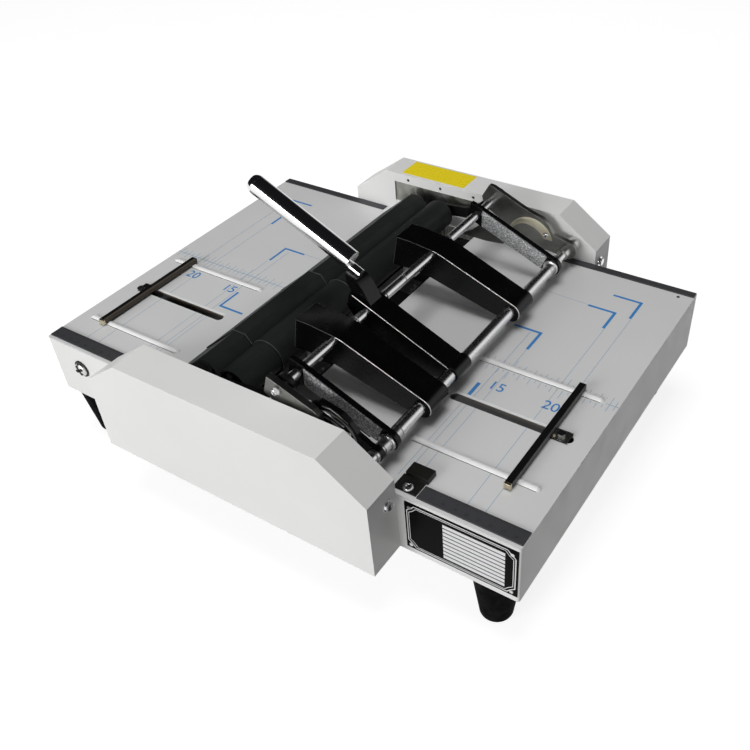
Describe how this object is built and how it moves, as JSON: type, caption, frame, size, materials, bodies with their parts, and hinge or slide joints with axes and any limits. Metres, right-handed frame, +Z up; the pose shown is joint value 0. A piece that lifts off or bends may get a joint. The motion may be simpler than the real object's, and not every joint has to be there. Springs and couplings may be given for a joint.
{
  "type": "booklet stapler",
  "caption": "Hand-operated desktop booklet stapler and folder with stapler arms, press lever, fold rollers under a cover and sliding paper stops on a flat table",
  "frame": {"origin": "floor level, midway along the base box and midway between the two side housings", "axes": "+X from the left table to the right table, along the paper path; +Y from the near side to the far side, along the shafts; +Z up"},
  "size_m": [0.492, 0.422, 0.2618],
  "materials": {
    "white_paint": "satin powder coat, off-white",
    "table_paint": "smooth satin enamel, light grey",
    "zinc": "zinc-plated sheet, spangled",
    "black_paint": "satin black paint",
    "gloss_black": "glossy black enamel",
    "cover_black": "matt black paint",
    "bright_steel": "bright machined steel",
    "chrome": "polished chrome plate",
    "link_steel": "blued steel plate",
    "hammered": "hammered silver finish",
    "brass": "aged brass",
    "rubber": "moulded black rubber",
    "ruler_black": "dark anodised strip",
    "black_plastic": "black moulded plastic",
    "plate_black": "black anodised plate, bare"
  },
  "bodies": {
    "frame": {"base_tray": "white_paint", "right_table": "table_paint", "left_table": "table_paint", "fold_plate": "table_paint", "deck_beams": "zinc", "anvil_rail": "black_paint", "anvil_plates": "bright_steel", "near_housing": "white_paint", "far_housing": "white_paint", "near_bearing_plate": "zinc", "far_bearing_plate": "zinc", "front_shaft": "chrome", "cover_near": "cover_black", "cover_middle": "cover_black", "cover_far": "cover_black", "cover_brackets": "cover_black", "knife_guides": "zinc", "near_rulers": "ruler_black", "far_rulers": "ruler_black", "side_guide": "black_plastic", "nameplate": "plate_black", "plate_rivets": "bright_steel", "housing_bolts": "chrome", "side_screws": "chrome", "rail_screws": "bright_steel", "rubber_feet": "rubber", "foot_bolts": "bright_steel", "shaft_bushes": "bright_steel"},
    "press_frame": {"press_lever": "gloss_black", "handle_socket": "gloss_black", "handle_tube": "chrome", "handle_cap": "chrome", "near_arm": "gloss_black", "far_arm": "gloss_black", "rear_shaft": "chrome", "inner_link_near": "gloss_black", "inner_link_far": "gloss_black", "outer_link_near": "link_steel", "outer_link_far": "link_steel", "link_pads": "hammered", "link_liners": "brass", "knife_fingers": "black_paint", "shaft_collars": "chrome", "driver_blades": "bright_steel"},
    "near_magazine_body": {"near_magazine": "bright_steel"},
    "far_magazine_body": {"far_magazine": "bright_steel"},
    "near_pusher_body": {"near_pusher": "black_plastic"},
    "far_pusher_body": {"far_pusher": "black_plastic"},
    "knife": {"knife_bar": "black_paint", "knife_blade": "bright_steel"},
    "left_roller_body": {"left_roller": "rubber", "left_axle": "bright_steel", "left_gear": "bright_steel"},
    "right_roller_body": {"right_roller": "rubber", "right_axle": "bright_steel", "right_gear": "bright_steel"},
    "right_stop_body": {"right_stop": "black_paint"},
    "right_clamp_body": {"right_clamp": "chrome"},
    "left_stop_body": {"left_stop": "black_paint"},
    "left_clamp_body": {"left_clamp": "chrome"}
  },
  "joints": [
    {"name": "press_hinge", "type": "hinge", "parent": "frame", "child": "press_frame", "pos_m": [0.118, 0, 0.135], "axis": [0, -1, 0], "range_deg": [0, 11], "stiffness_Nm_per_rad": 18, "springref_deg": -17.19},
    {"name": "near_magazine_hinge", "type": "hinge", "parent": "frame", "child": "near_magazine_body", "pos_m": [0.118, 0, 0.135], "axis": [0, -1, 0], "range_deg": [0, 8.4]},
    {"name": "far_magazine_hinge", "type": "hinge", "parent": "frame", "child": "far_magazine_body", "pos_m": [0.118, 0, 0.135], "axis": [0, -1, 0], "range_deg": [0, 8.4]},
    {"name": "near_pusher_slide", "type": "slide", "parent": "near_magazine_body", "child": "near_pusher_body", "axis": [0.973, 0, -0.2307], "range_m": [0, 0.055], "stiffness_N_per_m": 20, "springref_m": -0.06},
    {"name": "far_pusher_slide", "type": "slide", "parent": "far_magazine_body", "child": "far_pusher_body", "axis": [0.973, 0, -0.2307], "range_m": [0, 0.055], "stiffness_N_per_m": 20, "springref_m": -0.06},
    {"name": "knife_slide", "type": "slide", "parent": "frame", "child": "knife", "axis": [0, 0, -1], "range_m": [0, 0.0278]},
    {"name": "left_roller_spin", "type": "hinge", "parent": "frame", "child": "left_roller_body", "pos_m": [-0.0378, 0, 0.101], "axis": [0, 1, 0], "continuous": true},
    {"name": "right_roller_spin", "type": "hinge", "parent": "frame", "child": "right_roller_body", "pos_m": [-0.0162, 0, 0.101], "axis": [0, 1, 0], "continuous": true},
    {"name": "right_stop_slide", "type": "slide", "parent": "frame", "child": "right_stop_body", "axis": [1, 0, 0], "range_m": [-0.07, 0.006]},
    {"name": "left_stop_slide", "type": "slide", "parent": "frame", "child": "left_stop_body", "axis": [1, 0, 0], "range_m": [-0.008, 0.09]},
    {"name": "right_clamp_turn", "type": "hinge", "parent": "right_stop_body", "child": "right_clamp_body", "pos_m": [0.2206, -0.062, 0.117], "axis": [0, 0, 1], "continuous": true},
    {"name": "left_clamp_turn", "type": "hinge", "parent": "left_stop_body", "child": "left_clamp_body", "pos_m": [-0.2208, -0.0752, 0.117], "axis": [0, 0, 1], "continuous": true}
  ],
  "couplings": [
    {"joint": "near_magazine_hinge", "follows": "press_hinge", "ratio": 0.7636},
    {"joint": "far_magazine_hinge", "follows": "press_hinge", "ratio": 0.7636},
    {"joint": "knife_slide", "follows": "press_hinge", "m_per_rad": 0.1445},
    {"joint": "right_roller_spin", "follows": "left_roller_spin", "ratio": -1}
  ]
}
